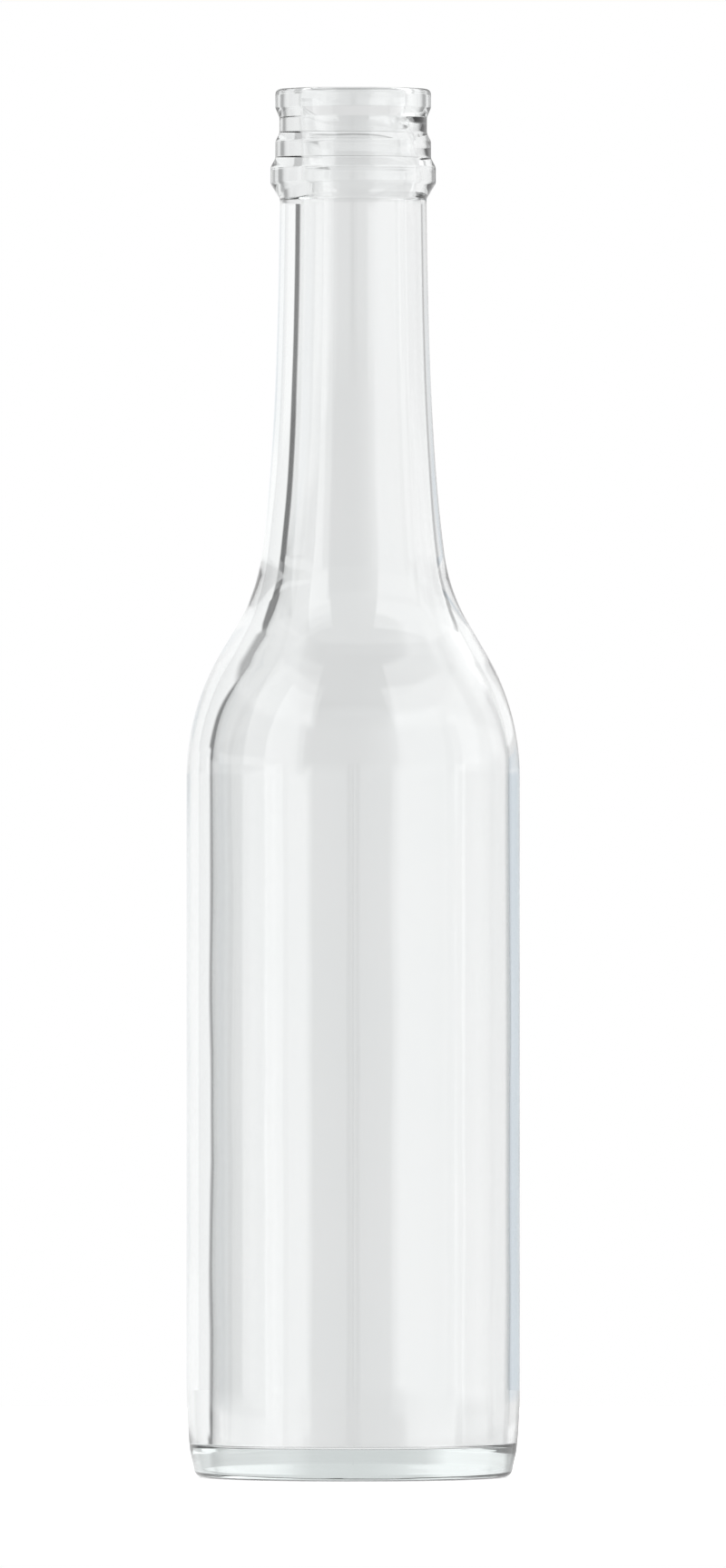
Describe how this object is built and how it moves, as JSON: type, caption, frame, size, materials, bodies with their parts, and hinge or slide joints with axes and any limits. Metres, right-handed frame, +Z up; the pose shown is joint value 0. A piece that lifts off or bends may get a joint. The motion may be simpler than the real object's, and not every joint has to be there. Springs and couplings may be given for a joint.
{
  "type": "long-neck beer bottle",
  "caption": "Empty clear glass bottle with a straight body, rounded shoulder, long tapered neck and a crown finish.",
  "frame": {"origin": "centre of the foot ring, on the surface that the bottle stands on", "axes": "+Z up along the bottle's axis, from the foot to the mouth; the wall is thinnest on the +X side"},
  "size_m": [0.0578, 0.0578, 0.24],
  "materials": {
    "clear_glass": "clear colourless container glass, fire-polished and glossy, faint mould seams"
  },
  "bodies": {
    "root": {"bottle": "clear_glass"}
  },
  "joints": []
}
